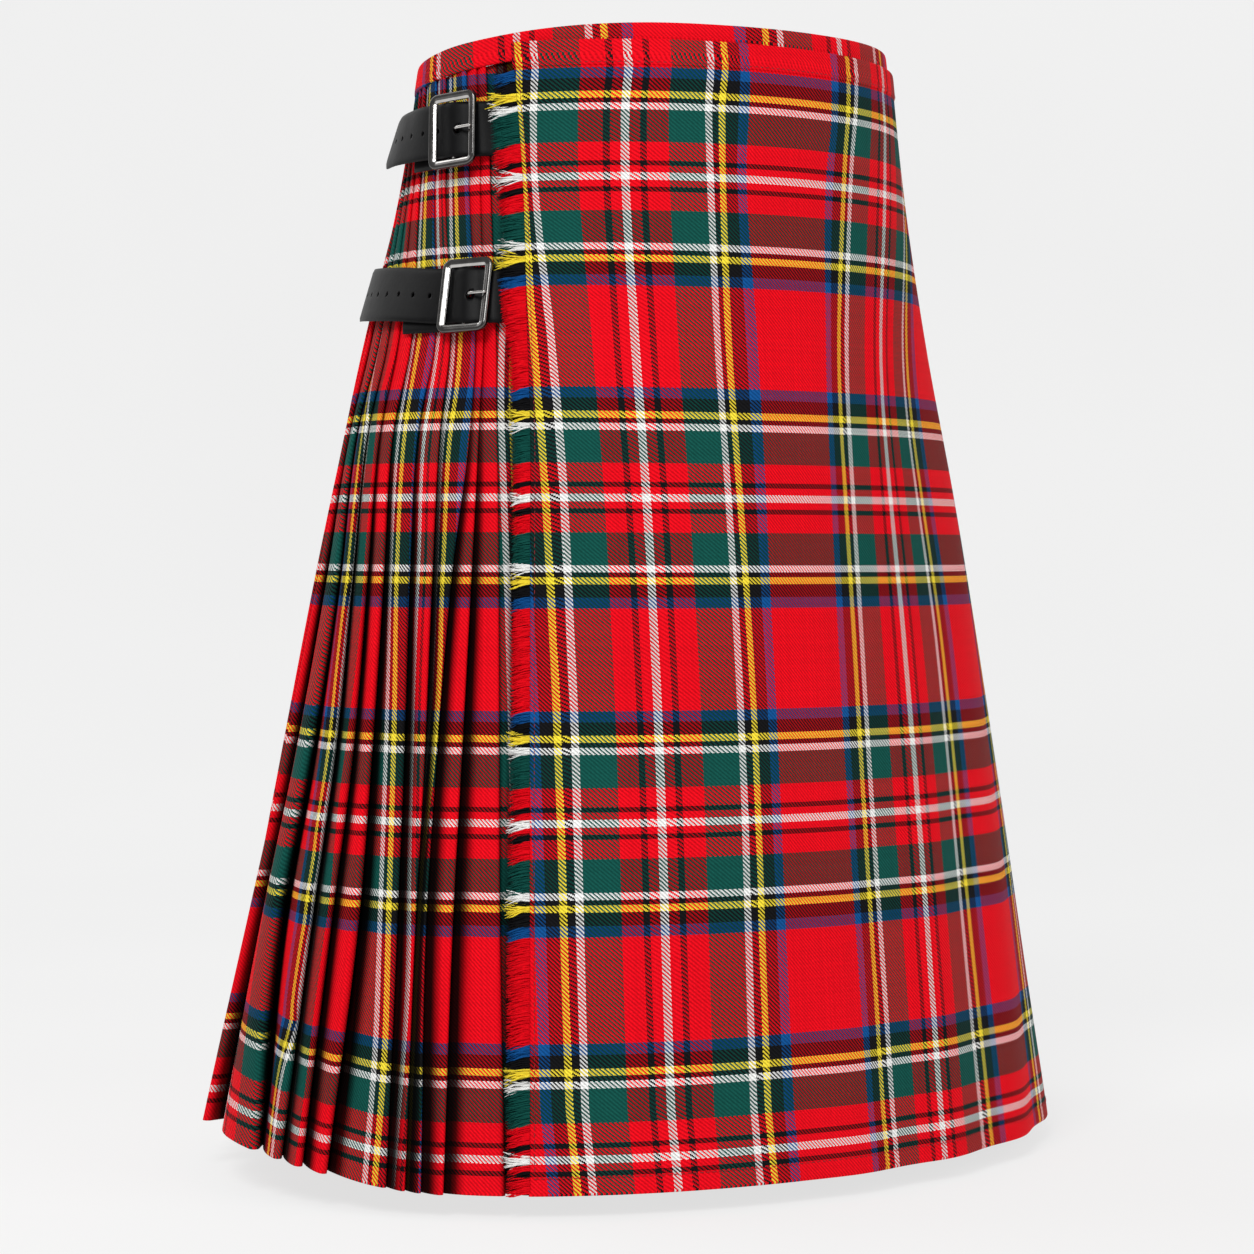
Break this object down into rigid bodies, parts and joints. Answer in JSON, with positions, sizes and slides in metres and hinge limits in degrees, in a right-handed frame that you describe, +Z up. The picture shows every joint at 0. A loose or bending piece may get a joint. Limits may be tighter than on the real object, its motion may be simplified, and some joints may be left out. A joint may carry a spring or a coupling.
{
  "type": "scottish kilt",
  "caption": "Wrap-over kilt in its worn form with no wearer: flat fringed front apron, knife pleats round the back, waistband, and leather straps with buckles at the right hip.",
  "frame": {"origin": "middle of the waist, at the height of the upper strap, where the wearer holds the kilt up", "axes": "+Z up along the kilt's length, -Y toward the front of the kilt, -X toward the wearer's right"},
  "size_m": [0.536, 0.4052, 0.6094],
  "materials": {
    "tartan_cloth": "2/2 twill worsted in a red tartan with green, blue, black, yellow and white lines",
    "fringe_yarn": "loose worsted yarn ends in the colours of the cloth's crosswise lines",
    "black_leather": "smooth black strap leather with a low sheen",
    "buckle_metal": "polished nickel plate"
  },
  "bodies": {
    "root": {"over_apron": "tartan_cloth", "under_apron": "tartan_cloth", "pleated_back": "tartan_cloth", "apron_band": "tartan_cloth", "inner_band": "tartan_cloth", "fringe": "fringe_yarn", "strap_upper": "black_leather", "strap_lower": "black_leather", "tab_upper": "black_leather", "tab_lower": "black_leather", "buckle_upper": "buckle_metal", "buckle_lower": "buckle_metal", "bar_upper": "buckle_metal", "bar_lower": "buckle_metal", "prong_upper": "buckle_metal", "prong_lower": "buckle_metal"}
  },
  "joints": []
}
